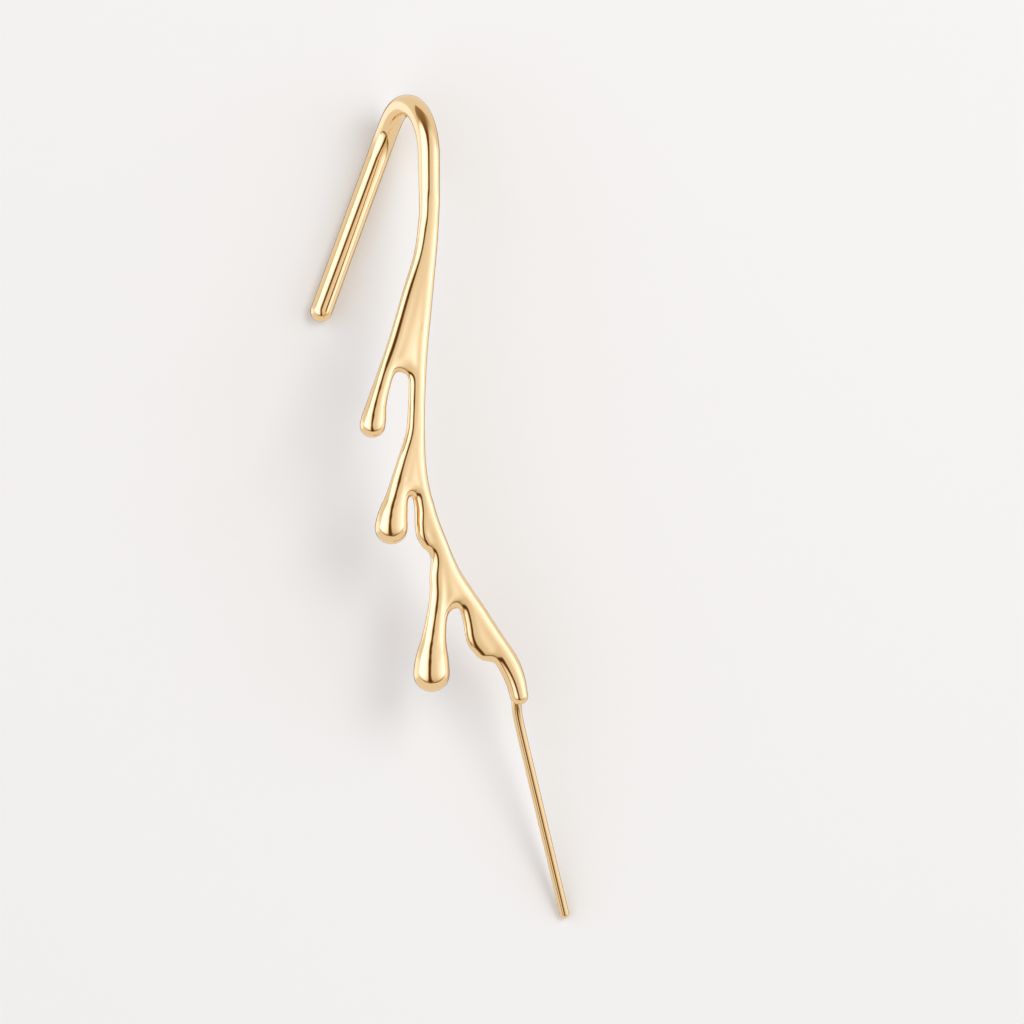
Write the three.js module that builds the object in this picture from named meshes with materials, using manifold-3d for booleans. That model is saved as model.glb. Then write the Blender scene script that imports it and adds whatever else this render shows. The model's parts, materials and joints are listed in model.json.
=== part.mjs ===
// Ear cuff like melted gold that runs down the front of the ear, in millimetres.
// It is one casting: a hook over the top of the ear, a stem with three drips at its left edge,
// and a rippled tip with a straight post soldered into it.
// It is drawn as it is worn (X right, Y back to the ear, Z up), then laid down on its back.

import * as THREE from 'three';
import Module from 'manifold-3d';
import { mergeVertices } from 'three/addons/utils/BufferGeometryUtils.js';

// Stem, from where the hook springs down to the middle of the tip
const STEM = { length: 48.8, stray: 9.1, width: 1.65, thickness: 1.25 };
const STEM_BOW = 1.2; // its middle stands this far forward of its ends

// Hook: a half circle over the ear, then a straight arm down behind it
const HOOK_RADIUS = 4.75; // of its centreline
const HOOK_WIDTH = 1.9; // it is round
const ARM_LENGTH = 15;
const ARM_LEAN = 22; // degrees to the left, as the ear's rim runs

// Drips: where each leaves the stem, as a share of the stem's length, how long it is, how far it
// strays sideways, and its round bulb
const DRIP_1 = { leaves: 0.088, length: 20, stray: -6.18, width: 2.24, thickness: 2.1 };
const DRIP_2 = { leaves: 0.485, length: 9.9, stray: -2.31, width: 2.92, thickness: 2.6 };
const DRIP_3 = { leaves: 0.725, length: 11.4, stray: -0.39, width: 3.24, thickness: 2.8 };

// Two swells of the stem's left edge: a nub above the third drip, and the ripple below it
const NUB = { leaves: 0.647, length: 4.1, stray: 0.9, width: 1.05, thickness: 1.4 };
const RIPPLE = { leaves: 0.833, length: 3.8, stray: 1.7, width: 2.3, thickness: 1.25 };

// Webs between the drips and the stem, each down to a notch that has the gap's width and a round
// top: where the notch starts, as a share of the drip's length, and how much wider than the gap
const NOTCH_1 = { down: 0.813, wider: 0.1 };
const NOTCH_2 = { down: 0.778, wider: 0.4 };
const NOTCH_3 = { down: 0.605, wider: 0.1 };

// Post, soldered into the tip
const POST_DIAMETER = 0.85;
const POST_LENGTH = 21.4;
const POST_CHAMFER = 0.12;
const POST_SIDES = 16;
const POST_SEAT = { right: -0.35, back: 0.45, up: -0.35 }; // where it starts, from the tip's middle
const POST_LEAN_RIGHT = 19; // degrees off straight down
const POST_LEAN_BACK = 10;

// Melted joints between branches, and the corners at the ends of a notch's round top
const JOINT_BLEND = 0.5;
const NOTCH_BLEND = 0.2;

// Rounded edge all round: how far in it reaches, as a share of half the thickness, and how square
// its section is (2 is round, more is squarer)
const EDGE_REACH = 1.15;
const EDGE_SQUARENESS = 2.2;
const THICKNESS_BLEND = 0.25; // over this depth one branch's thickness passes into the next one's

// How finely the skin is worked out
const CELL = [0.31, 0.55, 0.27]; // across, along and through the flat form
const STATION_STEP = 0.6; // between sections along a branch
const DRAWING_ROUNDS = 3; // in which each vertex is drawn onto the surface

// Sections of each branch: shares of its length, of its stray, and of its width and thickness
const STEM_SECTIONS = [
  { down: 0.0, out: 0.01, wide: 1.15, thick: 1.52 },
  { down: 0.04, out: 0.012, wide: 1.13, thick: 1.46 },
  { down: 0.08, out: 0.012, wide: 1.11, thick: 1.34 },
  { down: 0.13, out: 0.0, wide: 1.04, thick: 1.16 },
  { down: 0.26, out: -0.085, wide: 1.06, thick: 1.0 },
  { down: 0.35, out: -0.148, wide: 1.04, thick: 0.88 },
  { down: 0.44, out: -0.178, wide: 0.93, thick: 0.8 },
  { down: 0.5, out: -0.192, wide: 0.98, thick: 0.9 },
  { down: 0.57, out: -0.18, wide: 1.02, thick: 1.04 },
  { down: 0.615, out: -0.137, wide: 1.0, thick: 1.18 },
  { down: 0.66, out: -0.066, wide: 1.03, thick: 1.22 },
  { down: 0.71, out: 0.045, wide: 1.12, thick: 1.12 },
  { down: 0.775, out: 0.217, wide: 1.2, thick: 1.0 },
  { down: 0.83, out: 0.437, wide: 1.2, thick: 1.02 },
  { down: 0.89, out: 0.68, wide: 1.2, thick: 1.1 },
  { down: 0.945, out: 0.895, wide: 1.19, thick: 1.24 },
  { down: 0.972, out: 0.96, wide: 1.13, thick: 1.32 },
  { down: 1.0, out: 1.0, wide: 1.04, thick: 1.32 },
];
const DRIP_1_SECTIONS = [
  { down: 0.0, out: 0.0, wide: 0.53, thick: 0.7 },
  { down: 0.1, out: 0.05, wide: 0.56, thick: 0.65 },
  { down: 0.2, out: 0.118, wide: 0.59, thick: 0.6 },
  { down: 0.41, out: 0.34, wide: 0.7, thick: 0.55 },
  { down: 0.63, out: 0.59, wide: 0.72, thick: 0.58 },
  { down: 0.79, out: 0.81, wide: 0.65, thick: 0.62 },
  { down: 0.9, out: 0.93, wide: 0.77, thick: 0.8 },
  { down: 1.0, out: 1.0, wide: 1.0, thick: 1.0 },
];
const DRIP_2_SECTIONS = [
  { down: 0.0, out: 0.0, wide: 0.37, thick: 0.43 },
  { down: 0.27, out: 0.3, wide: 0.44, thick: 0.46 },
  { down: 0.51, out: 0.58, wide: 0.56, thick: 0.54 },
  { down: 0.73, out: 0.8, wide: 0.7, thick: 0.68 },
  { down: 0.92, out: 0.97, wide: 0.94, thick: 0.93 },
  { down: 1.0, out: 1.0, wide: 1.0, thick: 1.0 },
];
const DRIP_3_SECTIONS = [
  { down: 0.0, out: 0.0, wide: 0.4, thick: 0.48 },
  { down: 0.19, out: -0.28, wide: 0.5, thick: 0.46 },
  { down: 0.38, out: -0.59, wide: 0.55, thick: 0.49 },
  { down: 0.57, out: 0.03, wide: 0.58, thick: 0.56 },
  { down: 0.74, out: 0.59, wide: 0.69, thick: 0.69 },
  { down: 0.91, out: 0.94, wide: 0.94, thick: 0.94 },
  { down: 1.0, out: 1.0, wide: 1.0, thick: 1.0 },
];
const NUB_SECTIONS = [
  { down: 0.0, out: 0.0, wide: 1.25, thick: 1.07 },
  { down: 0.5, out: -0.05, wide: 1.24, thick: 1.07 },
  { down: 0.75, out: 0.22, wide: 1.1, thick: 1.0 },
  { down: 1.0, out: 1.0, wide: 0.8, thick: 0.96 },
];
const RIPPLE_SECTIONS = [
  { down: 0.0, out: 0.0, wide: 0.6, thick: 1.02 },
  { down: 0.38, out: 0.26, wide: 0.78, thick: 1.02 },
  { down: 0.8, out: 0.62, wide: 1.04, thick: 1.04 },
  { down: 1.0, out: 1.0, wide: 1.0, thick: 1.06 },
];

// Smooth curve through one column of a table, level at both ends except where it strays sideways
function column(rows, name, down) {
  const last = rows.length - 1;
  const slope = (i) => (rows[i + 1][name] - rows[i][name]) / (rows[i + 1].down - rows[i].down);
  const tangent = (i) => {
    if (i === 0 || i === last) return name === 'out' ? slope(Math.min(i, last - 1)) : 0;
    const above = rows[i].down - rows[i - 1].down;
    const below = rows[i + 1].down - rows[i].down;
    return (slope(i - 1) * below + slope(i) * above) / (above + below);
  };
  let i = 0;
  while (i < last - 1 && rows[i + 1].down < down) i += 1;
  const span = rows[i + 1].down - rows[i].down;
  const t = THREE.MathUtils.clamp((down - rows[i].down) / span, 0, 1);
  const upper = (1 + 2 * t) * (1 - t) ** 2 * rows[i][name] + t * (1 - t) ** 2 * span * tangent(i);
  const lower = t * t * (3 - 2 * t) * rows[i + 1][name] - t * t * (1 - t) * span * tangent(i + 1);
  return upper + lower;
}

// The flat form, before it is bent: x across, s down the stem from the hook's springing (the hook
// lies above, at s below 0), n forward out of the face.
const middleX = (line, down) => line.rootX + line.stray * column(line.sections, 'out', down);
const widthOf = (line, down) => line.width * column(line.sections, 'wide', down);
const thicknessOf = (line, down) => line.thickness * column(line.sections, 'thick', down);
const stem = { ...STEM, sections: STEM_SECTIONS, rootX: 0, rootS: 0 };
const stemX = (s) => middleX(stem, s / STEM.length);

function growing(sizes, sections, notch) {
  const rootS = sizes.leaves * STEM.length;
  return { ...sizes, sections, notch, rootX: stemX(rootS), rootS };
}

const drips = [
  growing(DRIP_1, DRIP_1_SECTIONS, NOTCH_1),
  growing(DRIP_2, DRIP_2_SECTIONS, NOTCH_2),
  growing(DRIP_3, DRIP_3_SECTIONS, NOTCH_3),
];
const swells = [growing(NUB, NUB_SECTIONS), growing(RIPPLE, RIPPLE_SECTIONS)];

// Evenly spaced values from 0 to a length, ends included
function steps(length) {
  const count = Math.ceil(length / STATION_STEP);
  return Array.from({ length: count + 1 }, (_, i) => (length * i) / count);
}

// A branch as stations: its middle, half its width and half its thickness
function branch(line) {
  return steps(line.length).map((along) => {
    const down = along / line.length;
    return {
      x: middleX(line, down),
      s: line.rootS + along,
      width: widthOf(line, down) / 2,
      thickness: thicknessOf(line, down) / 2,
    };
  });
}

// The hook, from the end of its arm over the ear to the stem. It starts to lean in the last
// quarter of the half circle, and its arm is straight.
function hook() {
  const quarter = (Math.PI * HOOK_RADIUS) / 4;
  const leaning = THREE.MathUtils.degToRad(ARM_LEAN);
  const length = 4 * quarter + ARM_LENGTH * Math.cos(leaning);
  return steps(length).map((along) => {
    const s = along - length;
    const turning = THREE.MathUtils.clamp(-s - 3 * quarter, 0, quarter);
    const leaned = turning ** 2 / (2 * quarter) + Math.max(-s - 4 * quarter, 0);
    const x = stemX(0) - Math.tan(leaning) * leaned;
    return { x, s, width: HOOK_WIDTH / 2, thickness: HOOK_WIDTH / 2 };
  });
}

// The web between a drip and the stem: it reaches from the middle of one to the middle of the
// other, down to the notch, and is as thick as the two of them
function web(drip) {
  return steps(drip.notch.down * drip.length).map((along) => {
    const down = along / drip.length;
    const s = drip.rootS + along;
    const left = middleX(drip, down);
    const right = stemX(s);
    const thickness = (thicknessOf(drip, down) + thicknessOf(stem, s / STEM.length)) / 4;
    return { x: (left + right) / 2, s, width: Math.abs(right - left) / 2, thickness };
  });
}

// The notch: it starts with a round top and follows the gap down, past the end of the drip
function notch(drip) {
  const start = drip.notch.down * drip.length;
  return steps(1.1 * drip.length - start).map((below) => {
    const down = (start + below) / drip.length;
    const s = drip.rootS + start + below;
    const left = middleX(drip, down) + widthOf(drip, down) / 2;
    const right = stemX(s) - widthOf(stem, s / STEM.length) / 2;
    const width = (right - left + drip.notch.wider) / 2;
    return { x: (left + right) / 2, s, width, thickness: 1 };
  });
}

const spine = [...hook(), ...branch(stem).slice(1)];
const branches = [spine, ...[...drips, ...swells].map(branch)];
const webs = drips.map((drip) => ({ plate: web(drip), gap: notch(drip) }));

// The part of a branch nearest to a place on the flat form: how far outside it the place is, below
// 0 inside, and half the width and half the thickness there
function nearest(line, x, s) {
  const best = { out: Infinity, width: 1, thickness: 1 };
  for (let i = 1; i < line.length; i += 1) {
    const from = line[i - 1];
    const to = line[i];
    const across = to.x - from.x;
    const along = to.s - from.s;
    const way = ((x - from.x) * across + (s - from.s) * along) / (across ** 2 + along ** 2);
    const t = THREE.MathUtils.clamp(way, 0, 1);
    const width = THREE.MathUtils.lerp(from.width, to.width, t);
    const out = Math.hypot(x - from.x - t * across, s - from.s - t * along) - width;
    if (out < best.out) {
      best.out = out;
      best.width = width;
      best.thickness = THREE.MathUtils.lerp(from.thickness, to.thickness, t);
    }
  }
  return best;
}

// The lower of two values, rounded over where they are nearly alike
function soften(a, b, blend) {
  const closeness = Math.max(blend - Math.abs(a - b), 0) / blend;
  return Math.min(a, b) - (closeness * closeness * blend) / 4;
}

// A place on the flat form: how far outside the outline it is, how far in from the outline the
// edge is rounded there, and half the thickness there
function flatForm(x, s) {
  const near = branches.map((line) => nearest(line, x, s));
  for (const { plate, gap } of webs) {
    const part = nearest(plate, x, s);
    part.out = -soften(-part.out, nearest(gap, x, s).out, NOTCH_BLEND);
    near.push(part);
  }
  const deepest = Math.min(...near.map((part) => part.out));
  const form = { out: Infinity, rounding: 0, thickness: 0 };
  let sum = 0;
  for (const { out, width, thickness } of near) {
    const weight = Math.exp((deepest - out) / THICKNESS_BLEND);
    sum += weight;
    form.out = soften(form.out, out, JOINT_BLEND);
    form.rounding += weight * Math.min(EDGE_REACH * thickness, width);
    form.thickness += weight * thickness;
  }
  form.rounding /= sum;
  form.thickness /= sum;
  return form;
}

// How far outside the metal a place is, or inside it when below 0, at n in front of the middle
function outside(form, n) {
  const { rounding, thickness } = form;
  const edge = Math.max(form.out + rounding, 0) / rounding;
  const sum = edge ** EDGE_SQUARENESS + Math.abs(n / thickness) ** EDGE_SQUARENESS;
  return (sum ** (1 / EDGE_SQUARENESS) - 1) * Math.min(rounding, thickness);
}

// Draws a place onto the surface, by short steps along the steepest way
function drawOntoSurface(place) {
  const nudge = 0.01;
  const longestStep = CELL[0] / 3;
  const leastSteepness = 0.25;
  for (let round = 0; round < DRAWING_ROUNDS; round += 1) {
    const [x, s, n] = place;
    const form = flatForm(x, s);
    const value = outside(form, n);
    const slope = [
      (outside(flatForm(x + nudge, s), n) - value) / nudge,
      (outside(flatForm(x, s + nudge), n) - value) / nudge,
      (outside(form, n + nudge) - value) / nudge,
    ];
    const steepness = Math.max(slope[0] ** 2 + slope[1] ** 2 + slope[2] ** 2, leastSteepness);
    const step = THREE.MathUtils.clamp(value / steepness, -longestStep, longestStep);
    slope.forEach((way, axis) => {
      place[axis] -= step * way;
    });
  }
  return place;
}

// Skin of the flat form: a vertex in each cell that the surface crosses, and a four-sided face
// round each cell edge that runs through the surface
function skin(low, high) {
  const count = low.map((start, axis) => Math.ceil((high[axis] - start) / CELL[axis]) + 1);
  const stride = [count[1] * count[2], count[2], 1];
  const total = count[0] * count[1] * count[2];
  const cornerOf = (index) => [
    Math.floor(index / stride[0]),
    Math.floor((index % stride[0]) / stride[1]),
    index % stride[1],
  ];
  const values = new Float64Array(total);
  for (let first = 0; first < total; first += count[2]) {
    const [x, s] = cornerOf(first).map((cell, axis) => low[axis] + cell * CELL[axis]);
    const form = flatForm(x, s);
    for (let k = 0; k < count[2]; k += 1) {
      values[first + k] = outside(form, low[2] + k * CELL[2]);
    }
  }

  const vertexOf = new Map();
  const positions = [];
  const vertexIn = (index) => {
    if (vertexOf.has(index)) return vertexOf.get(index);
    const cell = cornerOf(index);
    const sum = [0, 0, 0];
    let crossings = 0;
    for (let axis = 0; axis < 3; axis += 1) {
      const [side, other] = [(axis + 1) % 3, (axis + 2) % 3];
      for (let corner = 0; corner < 4; corner += 1) {
        const offset = [0, 0, 0];
        offset[side] = corner & 1;
        offset[other] = corner >> 1;
        const start = index + offset[0] * stride[0] + offset[1] * stride[1] + offset[2];
        const from = values[start];
        const to = values[start + stride[axis]];
        if (from < 0 !== to < 0) {
          offset[axis] = from / (from - to);
          offset.forEach((share, k) => {
            sum[k] += share;
          });
          crossings += 1;
        }
      }
    }
    const place = sum.map((shares, axis) => low[axis] + (cell[axis] + shares / crossings) * CELL[axis]);
    vertexOf.set(index, positions.length / 3);
    positions.push(...drawOntoSurface(place));
    return vertexOf.get(index);
  };

  const faces = [];
  for (let index = 0; index < total; index += 1) {
    const cell = cornerOf(index);
    for (let axis = 0; axis < 3; axis += 1) {
      const [side, other] = [(axis + 1) % 3, (axis + 2) % 3];
      const inGrid = cell[axis] < count[axis] - 1 && cell[side] > 0 && cell[other] > 0;
      if (!inGrid || values[index] < 0 === values[index + stride[axis]] < 0) continue;
      const back = [0, stride[side], stride[side] + stride[other], stride[other]];
      const corners = back.map((offset) => vertexIn(index - offset));
      faces.push(values[index] < 0 ? corners : corners.reverse());
    }
  }
  return { positions, faces };
}

// Bends a place on the flat form to where it is on the worn piece
function bend(x, s, n) {
  const overEar = Math.PI * HOOK_RADIUS;
  if (s < -overEar) return new THREE.Vector3(x, 2 * HOOK_RADIUS + n, s + overEar);
  if (s < 0) {
    const angle = -s / HOOK_RADIUS;
    const radius = HOOK_RADIUS + n;
    return new THREE.Vector3(x, HOOK_RADIUS - radius * Math.cos(angle), radius * Math.sin(angle));
  }
  const angle = Math.PI * Math.min(s / STEM.length, 1);
  const slope = ((-STEM_BOW * Math.PI) / STEM.length) * Math.sin(2 * angle);
  const tilt = n / Math.hypot(1, slope);
  return new THREE.Vector3(x, -STEM_BOW * Math.sin(angle) ** 2 - tilt, -s - slope * tilt);
}

const wasm = await Module();
wasm.setup();

function solid(geometry) {
  const mesh = new wasm.Mesh({
    numProp: 3,
    vertProperties: geometry.getAttribute('position').array,
    triVerts: Uint32Array.from(geometry.index.array),
  });
  return new wasm.Manifold(mesh);
}

// The casting: the skin of the flat form, each face cut along its shorter diagonal, then bent
function casting() {
  const all = branches.flat();
  const margin = 2 * Math.max(...CELL);
  const depth = Math.max(...all.map((at) => at.thickness)) + margin;
  const left = Math.min(...all.map((at) => at.x - at.width)) - margin;
  const right = Math.max(...all.map((at) => at.x + at.width)) + margin;
  const top = Math.min(...all.map((at) => at.s - at.width)) - margin;
  const bottom = Math.max(...all.map((at) => at.s + at.width)) + margin;
  const { positions, faces } = skin([left, top, -depth], [right, bottom, depth]);
  const vertex = (i) => new THREE.Vector3().fromArray(positions, 3 * i);
  const triangles = faces.flatMap(([a, b, c, d]) => {
    const acrossIsShorter = vertex(a).distanceTo(vertex(c)) < vertex(b).distanceTo(vertex(d));
    return acrossIsShorter ? [a, c, b, a, d, c] : [a, d, b, b, d, c];
  });
  const bent = [];
  for (let i = 0; i < positions.length; i += 3) bent.push(...bend(...positions.slice(i, i + 3)));
  const geometry = new THREE.BufferGeometry();
  geometry.setAttribute('position', new THREE.Float32BufferAttribute(bent, 3));
  geometry.setIndex(triangles);
  return geometry;
}

const tipMiddle = bend(stemX(STEM.length), STEM.length, 0);
const postSeat = new THREE.Vector3(POST_SEAT.right, POST_SEAT.back, POST_SEAT.up);
const postStart = tipMiddle.add(postSeat);
const postWay = new THREE.Vector3(
  Math.tan(THREE.MathUtils.degToRad(POST_LEAN_RIGHT)),
  Math.tan(THREE.MathUtils.degToRad(POST_LEAN_BACK)),
  -1,
).normalize();

function post() {
  const radius = POST_DIAMETER / 2;
  const profile = [
    new THREE.Vector2(0, 0),
    new THREE.Vector2(radius, 0),
    new THREE.Vector2(radius, POST_LENGTH - POST_CHAMFER),
    new THREE.Vector2(radius - POST_CHAMFER, POST_LENGTH),
    new THREE.Vector2(0, POST_LENGTH),
  ];
  const geometry = new THREE.LatheGeometry(profile, POST_SIDES);
  geometry.deleteAttribute('normal');
  geometry.deleteAttribute('uv');
  const turn = new THREE.Quaternion().setFromUnitVectors(new THREE.Vector3(0, 1, 0), postWay);
  return mergeVertices(geometry.applyQuaternion(turn).translate(...postStart));
}

// It lies on its arm, from end to end, and on the rim of the post's end. The way up from that
// plane moves the rim's lowest place a little, so both are found in rounds.
function restingUp() {
  const armEnd = bend(spine[0].x, spine[0].s, 0);
  const armLean = THREE.MathUtils.degToRad(ARM_LEAN);
  const armWay = new THREE.Vector3(Math.sin(armLean), 0, Math.cos(armLean));
  const postEnd = postStart.clone().addScaledVector(postWay, POST_LENGTH);
  const up = new THREE.Vector3(0, -1, 0);
  const rounds = 5;
  for (let round = 0; round < rounds; round += 1) {
    const rim = up.clone().addScaledVector(postWay, -up.dot(postWay)).setLength(POST_DIAMETER / 2);
    const armFoot = armEnd.clone().addScaledVector(up, -HOOK_WIDTH / 2);
    up.crossVectors(postEnd.clone().sub(rim).sub(armFoot), armWay).normalize();
  }
  return up;
}

const joined = solid(casting()).add(solid(post())).getMesh();
const geometry = new THREE.BufferGeometry();
geometry.setAttribute('position', new THREE.BufferAttribute(joined.vertProperties, joined.numProp));
geometry.setIndex(new THREE.BufferAttribute(joined.triVerts, 1));
geometry.computeVertexNormals();

const polishedGold = new THREE.MeshStandardMaterial({ color: 0xe6c692, roughness: 0.1, metalness: 1 });
const earCuff = new THREE.Mesh(geometry, polishedGold);
earCuff.name = 'ear_cuff';

// Laid down: the stem runs along +X from hook to tip, and the face looks up
const up = restingUp();
const alongStem = new THREE.Vector3(0, 0, -1).projectOnPlane(up).normalize();
const laid = new THREE.Matrix4().makeBasis(alongStem, up.clone().cross(alongStem), up).transpose();
earCuff.quaternion.setFromRotationMatrix(laid);
const box = new THREE.Box3().setFromObject(earCuff, true);
const middle = box.getCenter(new THREE.Vector3());
earCuff.position.set(-middle.x, -middle.y, -box.min.z);

const part = new THREE.Group();
part.add(earCuff);
export default part;
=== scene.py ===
"""Ear cuff like melted gold that drips from a hook, lying face up on its arm and on its post."""

import json
import math

import bpy
import numpy as np
from mathutils import Matrix, Vector


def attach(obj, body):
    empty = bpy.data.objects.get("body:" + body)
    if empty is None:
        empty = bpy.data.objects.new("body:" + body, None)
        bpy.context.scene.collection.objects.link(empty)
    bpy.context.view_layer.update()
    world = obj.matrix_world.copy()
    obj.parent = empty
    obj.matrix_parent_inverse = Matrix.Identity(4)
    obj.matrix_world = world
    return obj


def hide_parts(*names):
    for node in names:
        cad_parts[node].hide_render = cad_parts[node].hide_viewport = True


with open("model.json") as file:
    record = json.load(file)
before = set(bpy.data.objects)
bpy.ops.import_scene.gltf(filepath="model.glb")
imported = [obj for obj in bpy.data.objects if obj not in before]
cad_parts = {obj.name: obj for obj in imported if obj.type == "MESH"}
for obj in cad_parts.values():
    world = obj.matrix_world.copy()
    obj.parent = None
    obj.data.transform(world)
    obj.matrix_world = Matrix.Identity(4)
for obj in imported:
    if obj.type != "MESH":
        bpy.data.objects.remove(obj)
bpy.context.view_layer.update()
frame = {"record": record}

# Casting: hook, stem, three drips and rippled tip, poured as one piece of brass, smoothed and
# polished to a mirror before it is plated with gold. It is drawn flat in millimetres, x across,
# s down the stem from where the hook springs and n out of the face, and then its top is bent over.
STEM = dict(length=48.8, stray=9.1, width=1.65, thickness=1.25)
STEM_BOW = 1.2  # how far the middle of the stem stands forward of its ends
HOOK_RADIUS = 4.75
HOOK_WIDTH = 1.9
ARM_LENGTH = 15
ARM_LEAN = math.radians(22)

DRIP_1 = dict(leaves=0.088, length=20, stray=-6.18, width=2.24, thickness=2.1)
DRIP_2 = dict(leaves=0.485, length=9.9, stray=-2.31, width=2.92, thickness=2.6)
DRIP_3 = dict(leaves=0.725, length=11.4, stray=-0.39, width=3.24, thickness=2.8)
NUB = dict(leaves=0.647, length=3.3, stray=0.9, width=1.05, thickness=1.4)
RIPPLE = dict(leaves=0.833, length=3.8, stray=1.7, width=2.3, thickness=1.25)

NOTCH_1 = dict(down=0.813, wider=0.1)  # down is the gap's top, as a share of its drip's length
NOTCH_2 = dict(down=0.778, wider=0.4)
NOTCH_3 = dict(down=0.605, wider=0.1)
NOTCH_REACH = 1.1  # how far down the gap goes, as a share of its drip's length
NOTCH_STATIONS = 20
WEB_REACH = 0.95  # how far down the web goes, as a share of its drip's length
WEB_INSET = 0.2  # how far inside the outline the web is drawn
WEB_ROOT_INSET = 0.3  # how much further inside it starts
WEB_FADE = 2.5  # over this length the web starts, and its face splits in two above the notch
WEB_TAPER = 1.0  # how fast each side of it draws in below the top of the notch
WEB_END_WIDTH = 0.1

JOINT_BLEND = 0.5  # the larger a blend, the rounder the corner between two forms
SWELL_BLEND = 1.0
WEB_BLEND = 0.4
NOTCH_BLEND = 0.2
WIDTH_MIXING = 0.5  # over this depth one branch's width passes into the next one's
THICKNESS_MIXING = 0.6
EDGE_ROUND = 3  # how far in an edge is rounded, as a share of half the thickness
EDGE_SQUARENESS = 2.3  # 2 for a round edge, more for a squarer one

STATION_STEP = 0.1
REACH = 3  # no place has its nearest station further off than this along the stem
FAR = 1e3
BATCH = 400  # places whose nearest station is looked for at once
CELL = 0.14  # of the grid that the skin is drawn from
DRAWING_ROUNDS = 3
LONGEST_MOVE = CELL / 3
NUDGE = 0.01
LEAST_STEEPNESS = 0.25
SPACING_ROUNDS = 2
SPACING_SHARE = 0.5
BUFFING_ROUNDS = 20
BUFFING_IN = 0.6
BUFFING_OUT = -0.62

STEM_SECTIONS = [
    dict(down=0.0, out=0.01, wide=1.15, thick=1.52),
    dict(down=0.04, out=0.012, wide=1.13, thick=1.46),
    dict(down=0.08, out=0.012, wide=1.11, thick=1.34),
    dict(down=0.13, out=0.0, wide=1.04, thick=1.16),
    dict(down=0.26, out=-0.085, wide=1.06, thick=1.0),
    dict(down=0.35, out=-0.148, wide=1.04, thick=0.88),
    dict(down=0.44, out=-0.178, wide=0.93, thick=0.8),
    dict(down=0.5, out=-0.192, wide=0.98, thick=0.9),
    dict(down=0.57, out=-0.18, wide=1.02, thick=1.04),
    dict(down=0.615, out=-0.137, wide=1.0, thick=1.18),
    dict(down=0.66, out=-0.066, wide=1.03, thick=1.22),
    dict(down=0.71, out=0.045, wide=1.12, thick=1.12),
    dict(down=0.775, out=0.217, wide=1.2, thick=1.0),
    dict(down=0.83, out=0.437, wide=1.2, thick=1.02),
    dict(down=0.89, out=0.68, wide=1.2, thick=1.1),
    dict(down=0.945, out=0.895, wide=1.19, thick=1.24),
    dict(down=0.972, out=0.96, wide=1.08, thick=1.28),
    dict(down=1.0, out=1.0, wide=0.96, thick=1.25),
]
DRIP_1_SECTIONS = [
    dict(down=0.0, out=0.0, wide=0.35, thick=0.7),
    dict(down=0.1, out=0.05, wide=0.56, thick=0.65),
    dict(down=0.2, out=0.118, wide=0.59, thick=0.6),
    dict(down=0.41, out=0.34, wide=0.7, thick=0.55),
    dict(down=0.63, out=0.59, wide=0.72, thick=0.58),
    dict(down=0.79, out=0.81, wide=0.65, thick=0.62),
    dict(down=0.9, out=0.93, wide=0.77, thick=0.8),
    dict(down=1.0, out=1.0, wide=1.0, thick=1.0),
]
DRIP_2_SECTIONS = [
    dict(down=0.0, out=0.0, wide=0.2, thick=0.43),
    dict(down=0.27, out=0.3, wide=0.44, thick=0.46),
    dict(down=0.51, out=0.58, wide=0.56, thick=0.54),
    dict(down=0.73, out=0.8, wide=0.7, thick=0.68),
    dict(down=0.92, out=0.97, wide=0.94, thick=0.93),
    dict(down=1.0, out=1.0, wide=1.0, thick=1.0),
]
DRIP_3_SECTIONS = [
    dict(down=0.0, out=0.0, wide=0.18, thick=0.48),
    dict(down=0.19, out=-0.28, wide=0.5, thick=0.46),
    dict(down=0.38, out=-0.59, wide=0.55, thick=0.49),
    dict(down=0.57, out=0.03, wide=0.58, thick=0.56),
    dict(down=0.74, out=0.59, wide=0.69, thick=0.69),
    dict(down=0.91, out=0.94, wide=0.94, thick=0.94),
    dict(down=1.0, out=1.0, wide=1.0, thick=1.0),
]
NUB_SECTIONS = [
    dict(down=0.0, out=0.0, wide=0.5, thick=1.07),
    dict(down=0.55, out=-0.05, wide=1.2, thick=1.0),
    dict(down=0.85, out=0.1, wide=1.1, thick=0.98),
    dict(down=1.0, out=0.4, wide=0.85, thick=0.95),
]
RIPPLE_SECTIONS = [
    dict(down=0.0, out=0.0, wide=0.25, thick=1.02),
    dict(down=0.38, out=0.26, wide=0.78, thick=1.02),
    dict(down=0.8, out=0.62, wide=1.04, thick=1.04),
    dict(down=1.0, out=1.0, wide=1.0, thick=1.06),
]


def column(rows, name, down):
    """Smooth curve through one column of a table, level at both ends except where it strays."""
    at = np.array([row["down"] for row in rows])
    values = np.array([row[name] for row in rows])
    span = np.diff(at)
    slope = np.diff(values) / span
    tangent = np.zeros(len(rows))
    tangent[1:-1] = (slope[:-1] * span[1:] + slope[1:] * span[:-1]) / (span[:-1] + span[1:])
    if name == "out":
        tangent[0] = slope[0]
        tangent[-1] = slope[-1]
    i = np.clip(np.searchsorted(at, down, side="right") - 1, 0, len(span) - 1)
    t = np.clip((down - at[i]) / span[i], 0, 1)
    upper = (1 + 2 * t) * (1 - t) ** 2 * values[i] + t * (1 - t) ** 2 * span[i] * tangent[i]
    lower = t * t * (3 - 2 * t) * values[i + 1] - t * t * (1 - t) * span[i] * tangent[i + 1]
    return upper + lower


def middle_x(line, down):
    """How far right the middle of a branch is, at a share of its length."""
    return line["root_x"] + line["stray"] * column(line["sections"], "out", down)


def size(line, name, down):
    """How wide or thick a branch is, in all, at a share of its length."""
    whole = {"wide": line["width"], "thick": line["thickness"]}[name]
    return whole * column(line["sections"], name, down)


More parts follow.
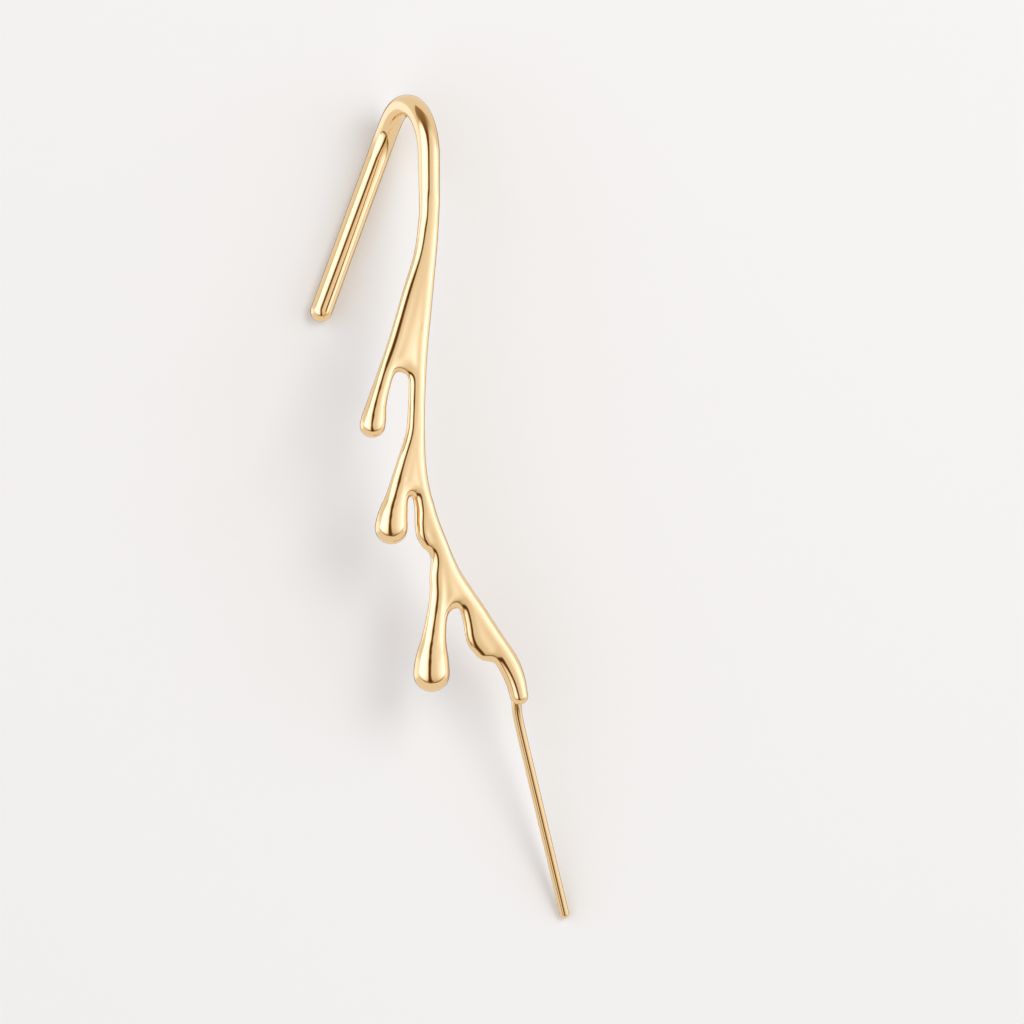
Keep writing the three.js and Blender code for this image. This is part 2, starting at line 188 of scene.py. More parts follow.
stem = dict(STEM, sections=STEM_SECTIONS, root_x=0, root_s=0)


def stem_x(s):
    return middle_x(stem, np.asarray(s) / STEM["length"])


def growing(sizes, sections, notch=None):
    """A drip or swell, with the place where it leaves the stem."""
    root_s = sizes["leaves"] * STEM["length"]
    return dict(sizes, sections=sections, notch=notch, root_x=stem_x(root_s), root_s=root_s)


def steps(length):
    return np.linspace(0, length, math.ceil(length / STATION_STEP) + 1)


def stations(x, s, width, thickness=1, face=None):
    """A branch as stations from top to bottom, a column each: x and s of its middle, half its
    width, half its thickness and half the width of the face that it is part of."""
    face = width if face is None else face
    return np.stack([values + 0 * s for values in (x, s, width / 2, thickness / 2, face / 2)])


def branch(line):
    along = steps(line["length"])
    down = along / line["length"]
    x = middle_x(line, down)
    return stations(x, line["root_s"] + along, size(line, "wide", down), size(line, "thick", down))


def hook():
    """From the end of the straight arm, which leans, round the bow to the stem. The lean starts in
    the last quarter of the bow."""
    bow = math.pi * HOOK_RADIUS
    turn = bow / 4
    length = bow + ARM_LENGTH * math.cos(ARM_LEAN)
    s = steps(length) - length
    turning = np.clip(-s - (bow - turn), 0, turn)
    leaned = turning**2 / (2 * turn) + np.maximum(-s - bow, 0)
    return stations(stem_x(0) - math.tan(ARM_LEAN) * leaned, s, HOOK_WIDTH, HOOK_WIDTH)


def soften(a, b, blend):
    """The lower of two values, rounded over where they are nearly alike."""
    closeness = np.maximum(blend - np.abs(a - b), 0) / blend
    return np.minimum(a, b) - closeness**2 * blend / 4


def edge_x(line, s, side):
    """Where the left (-1) or right (1) edge of a branch is, level with s."""
    down = np.clip((s - line["root_s"]) / line["length"], 0, 1)
    x = middle_x(line, down)
    return x + side * size(line, "wide", down) / 2 * np.hypot(1, np.gradient(x, s))


def web(drip):
    """The whole face from a drip's left edge to the stem's right edge. It ends at the notch, where
    it splits into the drip's own face and the stem's."""
    s = drip["root_s"] + steps(drip["length"] * WEB_REACH)
    split = drip["root_s"] + drip["notch"]["down"] * drip["length"]
    left = soften(edge_x(drip, s, -1), edge_x(stem, s, -1), JOINT_BLEND)
    right = edge_x(stem, s, 1)
    lean = np.maximum(np.abs(np.gradient(left, s)), np.abs(np.gradient(right, s)))
    starting = np.clip(1 - (s - drip["root_s"]) / WEB_FADE, 0, 1) ** 2
    width = (right - left) / np.hypot(1, lean) - 2 * (WEB_INSET + WEB_ROOT_INSET * starting)
    t = np.clip((s - split) / WEB_FADE + 1, 0, 1)
    share = t * t * (3 - 2 * t)
    drip_width = size(drip, "wide", (s - drip["root_s"]) / drip["length"])
    own = (drip_width + size(stem, "wide", s / STEM["length"])) / 2
    ending = np.maximum(width - 2 * WEB_TAPER * np.maximum(s - split, 0), WEB_END_WIDTH)
    return stations((left + right) / 2, s, ending, face=width + share * (own - width))


def notch(drip):
    """The round top of the gap below a web."""
    top = drip["notch"]["down"] * drip["length"] + WEB_INSET
    along = np.linspace(top, drip["length"] * NOTCH_REACH, NOTCH_STATIONS)
    down = along / drip["length"]
    s = drip["root_s"] + along
    left = middle_x(drip, down) + size(drip, "wide", down) / 2
    right = stem_x(s) - size(stem, "wide", s / STEM["length"]) / 2
    return stations((left + right) / 2, s, right - left + drip["notch"]["wider"])


drips = [
    growing(DRIP_1, DRIP_1_SECTIONS, NOTCH_1),
    growing(DRIP_2, DRIP_2_SECTIONS, NOTCH_2),
    growing(DRIP_3, DRIP_3_SECTIONS, NOTCH_3),
]
swells = [growing(NUB, NUB_SECTIONS), growing(RIPPLE, RIPPLE_SECTIONS)]
spine = np.hstack([hook(), branch(stem)[:, 1:]])
branches = [spine, *map(branch, drips + swells)]
webs = [(web(drip), notch(drip)) for drip in drips]


def nearest(line, x, s):
    """For each place, how far outside a branch it is in the flat plane, below 0 inside, and half
    the width of the branch's face and half its thickness there."""
    best = np.stack([np.full(x.shape, value) for value in (FAR, 1.0, 1.0)])
    order = np.argsort(s)
    for few in np.array_split(order, len(order) // BATCH + 1):
        first = max(np.searchsorted(line[1], s[few[0]] - REACH) - 1, 0)
        last = np.searchsorted(line[1], s[few[-1]] + REACH) + 1
        near = line[:, first:last]
        if near.shape[1] < 2:
            continue
        start, way = near[:, :-1], np.diff(near)
        beyond_x = x[few, None] - start[0]
        beyond_s = s[few, None] - start[1]
        t = np.clip((beyond_x * way[0] + beyond_s * way[1]) / (way[0] ** 2 + way[1] ** 2), 0, 1)
        out = np.hypot(beyond_x - t * way[0], beyond_s - t * way[1]) - start[2] - t * way[2]
        pick = np.argmin(out, axis=1)
        row = np.arange(len(few))
        at = t[row, pick]
        best[0, few] = out[row, pick]
        best[1, few] = start[4, pick] + at * way[4, pick]
        best[2, few] = start[3, pick] + at * way[3, pick]
    return best


def mixed(out, values, depth):
    """The values of the branches that a place lies deepest in, passing smoothly from one to the next."""
    weight = np.exp((out.min(axis=0) - out) / depth)
    return (weight * values).sum(axis=0) / weight.sum(axis=0)


def flat_form(x, s):
    """For each place, how far outside the flat form's outline it is, how far in from the outline
    its edge is rounded, and half its thickness."""
    near = np.stack([nearest(line, x, s) for line in branches])
    out = near[0, 0]
    blends = [JOINT_BLEND] * len(drips) + [SWELL_BLEND] * len(swells)
    for part, blend in zip(near[1:], blends):
        out = soften(out, part[0], blend)
    thickness = mixed(near[:, 0], near[:, 2], THICKNESS_MIXING)
    faces = [near]
    for plate, gap in webs:
        part = nearest(plate, x, s)
        part[0] = -soften(-part[0], nearest(gap, x, s)[0] - WEB_INSET, NOTCH_BLEND)
        part[1] += WEB_INSET
        out = soften(out, part[0], WEB_BLEND)
        faces.append(part[None])
    faces = np.concatenate(faces)
    face = mixed(faces[:, 0], faces[:, 1], WIDTH_MIXING)
    return out, np.minimum(EDGE_ROUND * thickness, face), thickness


def outside(form, n):
    """How far places are outside the metal, or inside it when below 0."""
    out, rounding, thickness = form
    edge = np.maximum(out + rounding, 0) / rounding
    reach = (edge**EDGE_SQUARENESS + np.abs(n / thickness) ** EDGE_SQUARENESS) ** (1 / EDGE_SQUARENESS)
    return (reach - 1) * np.minimum(rounding, thickness)


def draw_onto_surface(place):
    """Moves places onto the surface along the steepest way."""
    for _ in range(DRAWING_ROUNDS):
        x, s, n = place
        form = flat_form(x, s)
        value = outside(form, n)
        slope = np.stack([
            outside(flat_form(x + NUDGE, s), n) - value,
            outside(flat_form(x, s + NUDGE), n) - value,
            outside(form, n + NUDGE) - value,
        ]) / NUDGE
        steepness = np.maximum((slope**2).sum(axis=0), LEAST_STEEPNESS)
        place = place - slope * np.clip(value / steepness, -LONGEST_MOVE, LONGEST_MOVE)
    return place


def skin():
    """Skin of the flat form: a vertex in each grid cell that the surface crosses, and a
    four-sided face round each cell edge that runs through the surface."""
    everything = np.hstack(branches)
    middle, half_width, half_thickness = everything[:2], everything[2], everything[3].max()
    margin = 3 * CELL
    low = np.append((middle - half_width).min(axis=1), -half_thickness) - margin
    high = np.append((middle + half_width).max(axis=1), half_thickness) + margin
    count = np.ceil((high - low) / CELL).astype(int) + 1
    x, s, n = [low[axis] + CELL * np.arange(count[axis]) for axis in range(3)]
    flat_x, flat_s = [grid.ravel() for grid in np.meshgrid(x, s, indexing="ij")]
    form = [field[:, None] for field in flat_form(flat_x, flat_s)]
    values = outside(form, n).reshape(count)

    # A cell's vertex is the mean of the places where the surface crosses the cell's edges.
    cells = tuple(count - 1)
    total = np.zeros((3, *cells))
    crossings = np.zeros(cells)
    crossed = []
    for axis in range(3):
        start = np.moveaxis(values, axis, 0)
        a, b = start[:-1], start[1:]
        through = (a < 0) != (b < 0)
        share = np.where(through, a / np.where(through, a - b, 1), 0)
        through = np.moveaxis(through, 0, axis)
        share = np.moveaxis(share, 0, axis)
        crossed.append(through)
        side, other = [k for k in range(3) if k != axis]
        for up_side in (0, 1):
            for up_other in (0, 1):
                window = [slice(None)] * 3
                window[side] = slice(up_side, up_side + cells[side])
                window[other] = slice(up_other, up_other + cells[other])
                here = through[tuple(window)]
                crossings += here
                total[axis] += share[tuple(window)]
                total[side] += up_side * here
                total[other] += up_other * here
    active = crossings > 0
    vertex = np.full(cells, -1)
    vertex[active] = np.arange(active.sum())
    corner = np.stack(np.nonzero(active))
    place = low[:, None] + CELL * (corner + total[:, active] / crossings[active])

    # The face round an edge that enters the metal is turned, so that all faces point out of it.
    faces = []
    for axis in range(3):
        side, other = (axis + 1) % 3, (axis + 2) % 3
        edge = np.stack(np.nonzero(crossed[axis]))
        edge = edge[:, (edge[side] > 0) & (edge[other] > 0)]
        edge = edge[:, (edge[side] < cells[side]) & (edge[other] < cells[other])]
        round_edge = []
        for back_side, back_other in ((0, 0), (1, 0), (1, 1), (0, 1)):
            cell = edge.copy()
            cell[side] -= back_side
            cell[other] -= back_other
            round_edge.append(vertex[tuple(cell)])
        quads = np.stack(round_edge, axis=1)
        entering = values[tuple(edge)] >= 0
        quads[entering] = quads[entering, ::-1]
        faces.append(quads)
    return place, np.vstack(faces)


def drawn_to_neighbours(place, edges, share):
    """Moves each vertex by a share of its way to the middle of its neighbours."""
    degree = np.bincount(edges[:, 0], minlength=place.shape[1])
    mean = np.stack([np.bincount(edges[:, 0], axis[edges[:, 1]], place.shape[1]) for axis in place])
    return place + share * (mean / degree - place)


def polished(place, faces):
    """Spaces the vertices evenly on the surface, and then rounds off what is finer than about
    0.7 mm, as buffing does. Each inward round is followed by an outward one, to keep the size."""
    edges = np.vstack([faces[:, [i, (i + 1) % 4]] for i in range(4)])
    for _ in range(SPACING_ROUNDS):
        place = draw_onto_surface(drawn_to_neighbours(place, edges, SPACING_SHARE))
    place = draw_onto_surface(place)
    for _ in range(BUFFING_ROUNDS):
        place = drawn_to_neighbours(place, edges, BUFFING_IN)
        place = drawn_to_neighbours(place, edges, BUFFING_OUT)
    return place


def bend(x, s, n):
    """From the flat form to the piece as it is worn: right, back and up, in millimetres."""
    angle = np.clip(-s / HOOK_RADIUS, 0, math.pi)
    radius = HOOK_RADIUS + n
    arm = np.maximum(-s - math.pi * HOOK_RADIUS, 0)
    hook_y = HOOK_RADIUS - radius * np.cos(angle)
    hook_z = radius * np.sin(angle) - arm
    bow = math.pi * np.clip(s / STEM["length"], 0, 1)
    slope = -STEM_BOW * math.pi / STEM["length"] * np.sin(2 * bow)
    tilt = n / np.hypot(1, slope)
    stem_y = -STEM_BOW * np.sin(bow) ** 2 - tilt
    stem_z = -s - slope * tilt
    return np.stack([x, np.where(s < 0, hook_y, stem_y), np.where(s < 0, hook_z, stem_z)])


# The casting lies on its arm and on the far end of the post, so the post's sizes come in here.
MM = 0.001
POST_DIAMETER = 0.85
POST_LENGTH = 21.4
POST_SEAT = Vector((-0.35, 0.45, -0.35))  # from the middle of the tip's end to the post's start
POST_LEAN_RIGHT = math.radians(19)
POST_LEAN_BACK = math.radians(10)
RESTING_ROUNDS = 5
post_start = Vector(bend(stem_x(STEM["length"]), STEM["length"], 0)) + POST_SEAT
post_way = Vector((math.tan(POST_LEAN_RIGHT), math.tan(POST_LEAN_BACK), -1)).normalized()
post_end = post_start + post_way * POST_LENGTH


def resting_up():
    """The way up when the worn piece is laid on its arm and on the rim of the post's end."""
    arm_end = Vector(bend(spine[0, 0], spine[1, 0], 0))
    arm_way = Vector((math.sin(ARM_LEAN), 0, math.cos(ARM_LEAN)))
    up = Vector((0, -1, 0))
    for _ in range(RESTING_ROUNDS):
        rim = (up - up.dot(post_way) * post_way).normalized() * POST_DIAMETER / 2
        up = (post_end - rim - arm_end + up * HOOK_WIDTH / 2).cross(arm_way).normalized()
    return up


up = resting_up()
along_stem = (Vector((0, 0, -1)) - up * -up.z).normalized()
lay = Matrix((along_stem, up.cross(along_stem), up))
mount = next(m for m in frame["record"]["mounts"] if m["name"] == "post_end")
laid_at = Vector(mount["pos_m"]) - lay @ post_end * MM


def laid(worn):
    """Worn places in millimetres to metres in the frame, lying down."""
    return np.array(lay) @ np.reshape(worn, (3, -1)) * MM + np.array(laid_at)[:, None]


# The bend also mirrors the flat form, so the faces are turned to point outwards again.
place, faces = skin()
place = polished(place, faces)
mesh = bpy.data.meshes.new("casting")
mesh.from_pydata(laid(bend(*place)).T.tolist(), [], faces[:, ::-1].tolist())
mesh.validate()
mesh.shade_smooth()
casting = bpy.data.objects.new("casting", mesh)
bpy.context.scene.collection.objects.link(casting)


def linear(colour):
    """An sRGB hex colour as linear red, green, blue and full alpha."""
    shares = [int(colour[i:i + 2], 16) / 255 for i in (1, 3, 5)]
    return [c / 12.92 if c <= 0.04045 else ((c + 0.055) / 1.055) ** 2.4 for c in shares] + [1]


def add(tree, kind, inputs=None, **settings):
    """Adds a node with its settings. An input is a value or the output that it is linked to."""
    node = tree.nodes.new(kind)
    for name, value in settings.items():
        setattr(node, name, value)
    for socket, value in (inputs or {}).items():
        if isinstance(value, bpy.types.NodeSocket):
            tree.links.new(value, node.inputs[socket])
        else:
            node.inputs[socket].default_value = value
    return node


# Gold plate over polished brass: a mirror with a warm tint, because the plate is too thin to hide
# how well the brass was polished. The buffing wheel leaves hazy patches and a faint waviness. Its
# hairlines are far too fine to show, so they are left out.
GOLD = "#f9daab"
HAZE_PATCH = 1.6
HAZE_LOW = 0.3  # the noise's value where the plate is clearest
HAZE_HIGH = 0.7  # and where it is haziest
CLEAR_ROUGHNESS = 0.07
HAZY_ROUGHNESS = 0.11
BUFFING_WAVE = 2.2
BUFFING_DEPTH = 0.0015
gold = bpy.data.materials.new("polished gold plate")
gold.use_nodes = True
tree = gold.node_tree
shader = tree.nodes["Principled BSDF"]
shader.inputs["Base Color"].default_value = linear(GOLD)
shader.inputs["Metallic"].default_value = 1
place_on = add(tree, "ShaderNodeTexCoord").outputs["Object"]
haze = add(tree, "ShaderNodeTexNoise", {"Vector": place_on, "Scale": 1 / (HAZE_PATCH * MM), "Detail": 2})
roughness = add(tree, "ShaderNodeMapRange", {
    "Value": haze.outputs["Fac"], "From Min": HAZE_LOW, "From Max": HAZE_HIGH,
    "To Min": CLEAR_ROUGHNESS, "To Max": HAZY_ROUGHNESS,
})
wave = add(tree, "ShaderNodeTexNoise", {"Vector": place_on, "Scale": 1 / (BUFFING_WAVE * MM), "Detail": 0})
bump = add(tree, "ShaderNodeBump", {"Height": wave.outputs["Fac"], "Distance": BUFFING_DEPTH * MM})
tree.links.new(roughness.outputs["Result"], shader.inputs["Roughness"])
tree.links.new(bump.outputs["Normal"], shader.inputs["Normal"])

casting.data.materials.append(gold)
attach(casting, "root")
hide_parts("ear_cuff")

# Post: a straight round wire of the same brass, drawn through a die, soldered into the back of the
# tip with a small fillet and plated with it. Its end is cut off square and its edge is broken, so
# that an ear nut slips on over it.
POST_SIDES = 48
POST_STEP = 0.06
POST_CHAMFER = 0.12
POST_DOME = 0.5
DOME_OPENING = 0.001  # keeps the first ring of the dome from shrinking to a point
NECK_SHARE = 0.7  # of the way back from the post's start to the middle of the tip's end
NECK_REACH = 0.7
SOLDER_FLARE = 0.08
SOLDER_REACH = 0.8
LEFT_AT_REACH = math.exp(-1)  # share of the neck and flare that is left at their reach
post_sizes = {
    "Start": laid(post_start)[:, 0],
    "End": laid(post_end)[:, 0],
    "Radius": POST_DIAMETER / 2 * MM,
    "Length": POST_LENGTH * MM,
    "Step": POST_STEP * MM,
    "Neck": laid(post_start - NECK_SHARE * POST_SEAT)[:, 0] - laid(post_start)[:, 0],
    "Neck Reach": NECK_REACH * MM,
    "Dome": POST_DOME * MM,
    "Chamfer": POST_CHAMFER * MM,
    "Flare": SOLDER_FLARE * MM,
    "Flare Reach": SOLDER_REACH * MM,
}
tree = bpy.data.node_groups.new("soldered wire", "GeometryNodeTree")
tree.interface.new_socket("Geometry", in_out="OUTPUT", socket_type="NodeSocketGeometry")
for name, value in post_sizes.items():
    kind = "NodeSocketFloat" if isinstance(value, float) else "NodeSocketVector"
    tree.interface.new_socket(name, in_out="INPUT", socket_type=kind)
size_of = tree.nodes.new("NodeGroupInput").outputs
line = add(tree, "GeometryNodeCurvePrimitiveLine", {"Start": size_of["Start"], "End": size_of["End"]})
wire = add(tree, "GeometryNodeResampleCurve", {
    "Curve": line.outputs["Curve"], "Length": size_of["Step"],
}, mode="LENGTH")
along = add(tree, "GeometryNodeSplineParameter").outputs["Length"]

# The root of the wire bends back towards the middle of the tip.
reaches = add(tree, "ShaderNodeMath", {0: along, 1: size_of["Neck Reach"]}, operation="DIVIDE")
fading = add(tree, "ShaderNodeMath", {0: LEFT_AT_REACH, 1: reaches.outputs[0]}, operation="POWER")
shift = add(tree, "ShaderNodeVectorMath", {
    0: size_of["Neck"], "Scale": fading.outputs[0],
}, operation="SCALE")
necked = add(tree, "GeometryNodeSetPosition", {
    "Geometry": wire.outputs["Curve"], "Offset": shift.outputs[0],
})

# The wire is wider in the fillet of solder, and narrower at its broken edge and its domed top.
reaches = add(tree, "ShaderNodeMath", {0: along, 1: size_of["Flare Reach"]}, operation="DIVIDE")
fading = add(tree, "ShaderNodeMath", {0: LEFT_AT_REACH, 1: reaches.outputs[0]}, operation="POWER")
flared = add(tree, "ShaderNodeMath", {
    0: fading.outputs[0], 1: size_of["Flare"], 2: size_of["Radius"],
}, operation="MULTIPLY_ADD")
to_end = add(tree, "ShaderNodeMath", {0: size_of["Length"], 1: along}, operation="SUBTRACT")
in_edge = add(tree, "ShaderNodeMath", {0: size_of["Chamfer"], 1: to_end.outputs[0]}, operation="SUBTRACT")
cut_off = add(tree, "ShaderNodeMath", {0: in_edge.outputs[0], 1: 0.0}, operation="MAXIMUM")
broken = add(tree, "ShaderNodeMath", {0: flared.outputs[0], 1: cut_off.outputs[0]}, operation="SUBTRACT")
domes = add(tree, "ShaderNodeMath", {0: along, 1: size_of["Dome"]}, operation="DIVIDE")
up_dome = add(tree, "ShaderNodeMath", {0: 1.0, 1: domes.outputs[0]}, operation="SUBTRACT", use_clamp=True)
squared = add(tree, "ShaderNodeMath", {0: up_dome.outputs[0], 1: 2.0}, operation="POWER")
left = add(tree, "ShaderNodeMath", {0: 1 + DOME_OPENING, 1: squared.outputs[0]}, operation="SUBTRACT")
domed = add(tree, "ShaderNodeMath", {0: left.outputs[0]}, operation="SQRT")
radius = add(tree, "ShaderNodeMath", {0: broken.outputs[0], 1: domed.outputs[0]}, operation="MULTIPLY")

# The profile's own radius is 1 m, so its scale at a place is the wire's radius there.
section = add(tree, "GeometryNodeCurvePrimitiveCircle", {"Resolution": POST_SIDES, "Radius": 1.0})
swept = add(tree, "GeometryNodeCurveToMesh", {
    "Curve": necked.outputs["Geometry"], "Profile Curve": section.outputs["Curve"],
    "Scale": radius.outputs[0], "Fill Caps": True,
})
realized = add(tree, "GeometryNodeRealizeInstances", {"Geometry": swept.outputs["Mesh"]})
coated = add(tree, "GeometryNodeSetMaterial", {"Geometry": realized.outputs["Geometry"], "Material": gold})
add(tree, "NodeGroupOutput", {"Geometry": coated.outputs["Geometry"]})

post = bpy.data.objects.new("post", bpy.data.meshes.new("post"))
bpy.context.scene.collection.objects.link(post)
drawing = post.modifiers.new("soldered wire", "NODES")
drawing.node_group = tree
for socket in tree.interface.items_tree:
    if socket.in_out == "INPUT":
        drawing[socket.identifier] = post_sizes[socket.name]
drawn = bpy.data.meshes.new_from_object(post.evaluated_get(bpy.context.evaluated_depsgraph_get()))
post.modifiers.remove(drawing)
post.data = drawn
for face in drawn.polygons:
    face.use_smooth = len(face.vertices) == 4
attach(post, "root")
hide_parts("ear_cuff")

# Floor: a sheet of white paper, matt, that the cuff lies on. It is far larger than the picture, and
# the metal doesn't mirror it, because the studio's rows below hold what the metal mirrors.
FLOOR_SIZE = 8
PAPER = "#f5f4f2"
PAPER_ROUGHNESS = 0.9
bpy.ops.mesh.primitive_plane_add(size=FLOOR_SIZE)
floor = bpy.context.object
floor.name = "floor"
paper = bpy.data.materials.new("matt white paper")
paper.use_nodes = True
shader = paper.node_tree.nodes["Principled BSDF"]
shader.inputs["Base Color"].default_value = linear(PAPER)
shader.inputs["Roughness"].default_value = PAPER_ROUGHNESS
shader.inputs["Specular IOR Level"].default_value = 0
floor.data.materials.append(paper)
floor.visible_glossy = False

# Camera: looks at the lying cuff the way that the photograph looks at the worn one, from far off
# through a long lens.
FRAME_WIDTH = 92.67
FRAME_MIDDLE = (6.89, -3.213, -32.13)  # as the piece is worn
CAMERA_TURN = math.radians(25)
CAMERA_DISTANCE = 2400
right = lay @ Vector((math.cos(CAMERA_TURN), -math.sin(CAMERA_TURN), 0))
back = lay @ Vector((-math.sin(CAMERA_TURN), -math.cos(CAMERA_TURN), 0))
upward = back.cross(right)
camera = bpy.data.objects.new("camera", bpy.data.cameras.new("camera"))
camera.data.lens = camera.data.sensor_width * CAMERA_DISTANCE / FRAME_WIDTH
camera.data.clip_start = 0.01
camera.data.clip_end = 100
turn = Matrix((right, upward, back)).transposed().to_4x4()
aim = Vector(laid(FRAME_MIDDLE)[:, 0])
camera.matrix_world = Matrix.Translation(aim + back * CAMERA_DISTANCE * MM) @ turn
bpy.context.scene.collection.objects.link(camera)
bpy.context.scene.camera = camera

# Studio: tall softboxes to the left and right of the camera, a dark gap between them and a plain
# warm grey room, drawn by direction because the metal mirrors all of it. Side and pitch are degrees
# to the right of the camera's axis and above it. What is dimmer is also warmer.
STRENGTH = 2.4
WARMTH = (0.75, 1.0, 1.4)
GAP_DARK = 0.5  # the gap is darkest up to this share of its half width
GAP_END = 1.4  # and the softboxes are at their full light from this share on
GAP_SHUT = 0.002  # keeps these two places apart where the gap is shut
GAP_LIGHT = 0.02
ROOM_IN_GAP = 0.22
GAP_SCALE = 100  # degrees to 1 in the ramp's colours
SIDE_WALLS = (-0.1, 0.1)  # how far forward they reach, as a cosine from the camera's axis
SIDE_WALL_LIGHT = 0.68  # as a share of the softboxes' light
FAR_WALL = (-0.9, -0.8)
FAR_WALL_LIGHT = 0.1
WALL_TOP = (0.15, 0.3)  # how far up and down the walls reach, as a sine from the camera's axis
SIDE_ROWS = [
    dict(side=-90, light=0.6),
    dict(side=-60, light=0.74),
    dict(side=-25, light=0.66),
    dict(side=-2, light=0.42),
    dict(side=20, light=0.32),
    dict(side=42, light=0.35),
    dict(side=50, light=0.42),
    dict(side=62, light=0.56),
    dict(side=75, light=0.68),
    dict(side=90, light=0.72),
]
# The light of the softboxes and of the room, half the gap's width and the side of its middle.
PITCH_ROWS = [
    dict(pitch=-180, boxes=0, room=0.33, gap=0, gap_side=9),
    dict(pitch=-55, boxes=0, room=0.33, gap=0, gap_side=9),
    dict(pitch=-52, boxes=0, room=0.05, gap=0, gap_side=9),
    dict(pitch=-48, boxes=0, room=0.05, gap=0, gap_side=9),
    dict(pitch=-43, boxes=0.55, room=0, gap=18, gap_side=9),
    dict(pitch=-28, boxes=0.85, room=0, gap=12, gap_side=9),
    dict(pitch=0, boxes=1, room=0, gap=10, gap_side=9),
    dict(pitch=20, boxes=1, room=0, gap=11, gap_side=9),
    dict(pitch=38, boxes=0.97, room=0, gap=15, gap_side=7),
    dict(pitch=55, boxes=0.8, room=0.1, gap=28, gap_side=-3),
    dict(pitch=75, boxes=0.35, room=0.22, gap=46, gap_side=-14),
    dict(pitch=92, boxes=0.1, room=0.3, gap=44, gap_side=-18),
    dict(pitch=103, boxes=0, room=0.33, gap=0, gap_side=-18),
    dict(pitch=180, boxes=0, room=0.34, gap=0, gap_side=9),
]
world = bpy.data.worlds.new("studio")
bpy.context.scene.world = world
world.use_nodes = True
tree = world.node_tree
tree.nodes.clear()
looking = add(tree, "ShaderNodeTexCoord").outputs["Generated"]
to_right, to_up, to_back = [
    add(tree, "ShaderNodeVectorMath", {0: looking, 1: way}, operation="DOT_PRODUCT").outputs["Value"]
    for way in (right, upward, back)
]
side = add(tree, "ShaderNodeMath", {0: to_right}, operation="ARCSINE").outputs[0]
pitch = add(tree, "ShaderNodeMath", {0: to_up, 1: to_back}, operation="ARCTAN2").outputs[0]


def by_angle(angle, end, stops):
    """Four values that change with an angle from -end to end degrees, with a stop for each row."""
    share = add(tree, "ShaderNodeMapRange", {
        "Value": angle, "From Min": -math.radians(end), "From Max": math.radians(end),
    })
    ramp = add(tree, "ShaderNodeValToRGB", {0: share.outputs[0]})
    for _ in stops[2:]:
        ramp.color_ramp.elements.new(0.5)
    for stop, (at, *values) in zip(ramp.color_ramp.elements, stops):
        stop.position = (at + end) / (2 * end)
        stop.color = values
    split = add(tree, "ShaderNodeSeparateColor", {0: ramp.outputs["Color"]}).outputs
    return [*split[:3], ramp.outputs["Alpha"]]


light = by_angle(side, 90, [(row["side"], row["light"], 0, 0, 1) for row in SIDE_ROWS])[0]
softboxes, room, gap, gap_side = by_angle(pitch, 180, [
    (row["pitch"], row["boxes"], row["room"], row["gap"] / GAP_SCALE, 0.5 + row["gap_side"] / GAP_SCALE)
    for row in PITCH_ROWS
])
lit = add(tree, "ShaderNodeMath", {0: light, 1: softboxes, 2: room}, operation="MULTIPLY_ADD").outputs[0]
dark = add(tree, "ShaderNodeMath", {
    0: room, 1: ROOM_IN_GAP, 2: GAP_LIGHT,
}, operation="MULTIPLY_ADD").outputs[0]
middle = add(tree, "ShaderNodeMapRange", {
    "Value": gap_side, "To Min": -math.radians(GAP_SCALE / 2), "To Max": math.radians(GAP_SCALE / 2),
}).outputs[0]
from_middle = add(tree, "ShaderNodeMath", {0: side, 1: middle}, operation="SUBTRACT").outputs[0]
off = add(tree, "ShaderNodeMath", {0: from_middle}, operation="ABSOLUTE").outputs[0]
half = add(tree, "ShaderNodeMath", {0: gap, 1: math.radians(GAP_SCALE)}, operation="MULTIPLY").outputs[0]
inner = add(tree, "ShaderNodeMath", {0: half, 1: GAP_DARK}, operation="MULTIPLY").outputs[0]
outer = add(tree, "ShaderNodeMath", {0: half, 1: GAP_END, 2: GAP_SHUT}, operation="MULTIPLY_ADD").outputs[0]
front = add(tree, "ShaderNodeMapRange", {
    "Value": off, "From Min": inner, "From Max": outer, "To Min": dark, "To Max": lit,
}, interpolation_type="SMOOTHSTEP").outputs[0]

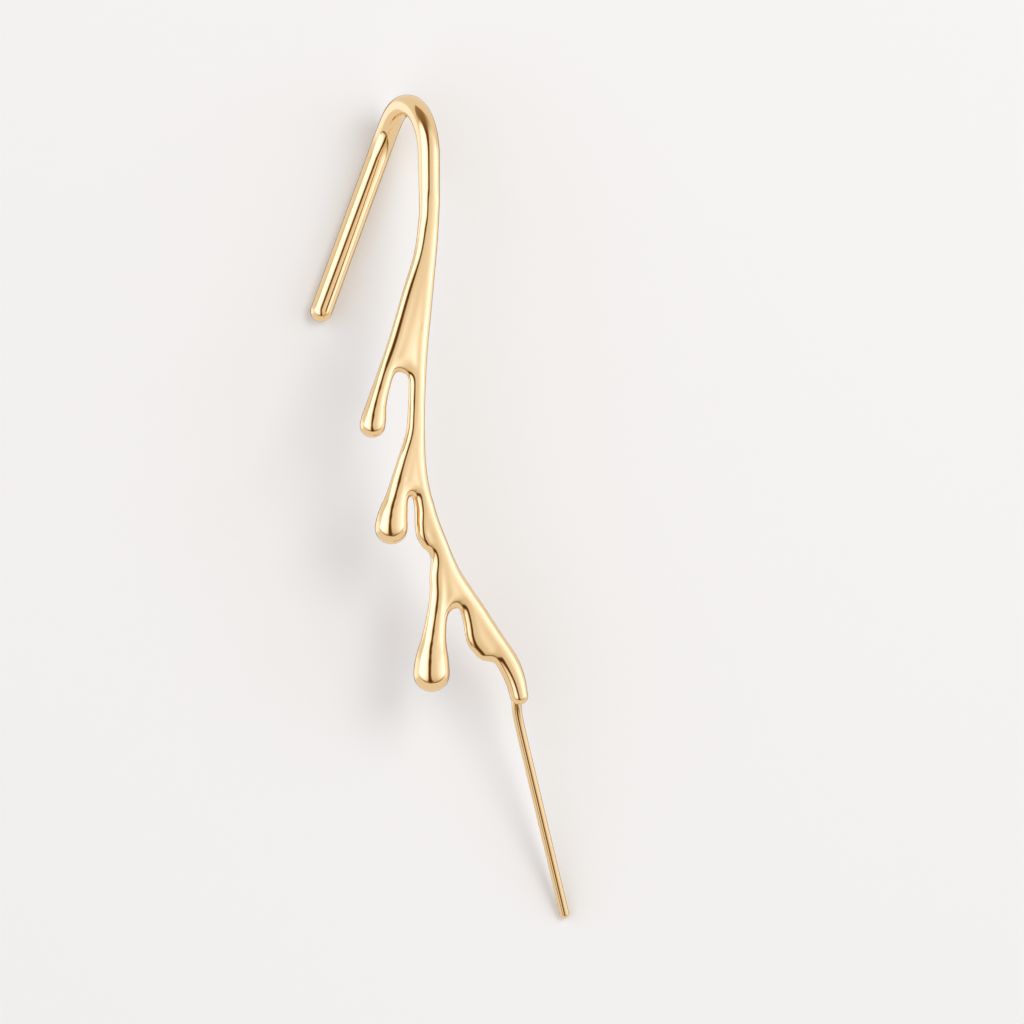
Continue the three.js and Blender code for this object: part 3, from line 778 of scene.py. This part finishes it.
# The walls show only level with the cuff: the side walls a dimmer softbox, the far wall a dark one.
height = add(tree, "ShaderNodeMath", {0: to_up}, operation="ABSOLUTE").outputs[0]
on_walls = add(tree, "ShaderNodeMapRange", {
    "Value": height, "From Min": WALL_TOP[0], "From Max": WALL_TOP[1], "To Min": 1.0, "To Max": 0.0,
}, interpolation_type="SMOOTHSTEP").outputs[0]
on_side_walls = add(tree, "ShaderNodeMapRange", {
    "Value": to_back, "From Min": SIDE_WALLS[0], "From Max": SIDE_WALLS[1],
    "To Min": on_walls, "To Max": 0.0,
}, interpolation_type="SMOOTHSTEP").outputs[0]
side_wall = add(tree, "ShaderNodeMath", {0: light, 1: SIDE_WALL_LIGHT}, operation="MULTIPLY").outputs[0]
around = add(tree, "ShaderNodeMix", {"Factor": on_side_walls, "A": front, "B": side_wall}).outputs[0]
far_wall = add(tree, "ShaderNodeMapRange", {
    "Value": height, "From Min": WALL_TOP[0], "From Max": WALL_TOP[1],
    "To Min": FAR_WALL_LIGHT, "To Max": 1.0,
}, interpolation_type="SMOOTHSTEP").outputs[0]
dimming = add(tree, "ShaderNodeMapRange", {
    "Value": to_back, "From Min": FAR_WALL[0], "From Max": FAR_WALL[1],
    "To Min": far_wall, "To Max": 1.0,
}, interpolation_type="SMOOTHSTEP").outputs[0]
dimmed = add(tree, "ShaderNodeMath", {0: around, 1: dimming}, operation="MULTIPLY").outputs[0]
level = add(tree, "ShaderNodeMath", {0: dimmed, 1: STRENGTH}, operation="MULTIPLY").outputs[0]
tint = add(tree, "ShaderNodeCombineColor", {
    channel: add(tree, "ShaderNodeMath", {0: level, 1: power}, operation="POWER").outputs[0]
    for channel, power in enumerate(WARMTH)
})
emission = add(tree, "ShaderNodeBackground", {"Color": tint.outputs[0]})
add(tree, "ShaderNodeOutputWorld", {"Surface": emission.outputs[0]})

# Overhead softbox: stands over the floor and gives the cuff its soft shadow. The metal doesn't
# mirror it.
LAMP_SIZE = 0.35
LAMP_POWER = 1.0
LAMP_PLACE = (-0.2, 0.15, 0.55)
lamp = bpy.data.objects.new("overhead softbox", bpy.data.lights.new("overhead softbox", "AREA"))
lamp.data.energy = LAMP_POWER
lamp.data.size = LAMP_SIZE
lamp.location = LAMP_PLACE
lamp.rotation_euler = Vector(LAMP_PLACE).to_track_quat("Z", "Y").to_euler()
lamp.visible_glossy = False
bpy.context.scene.collection.objects.link(lamp)

bpy.context.scene.view_settings.view_transform = "Standard"
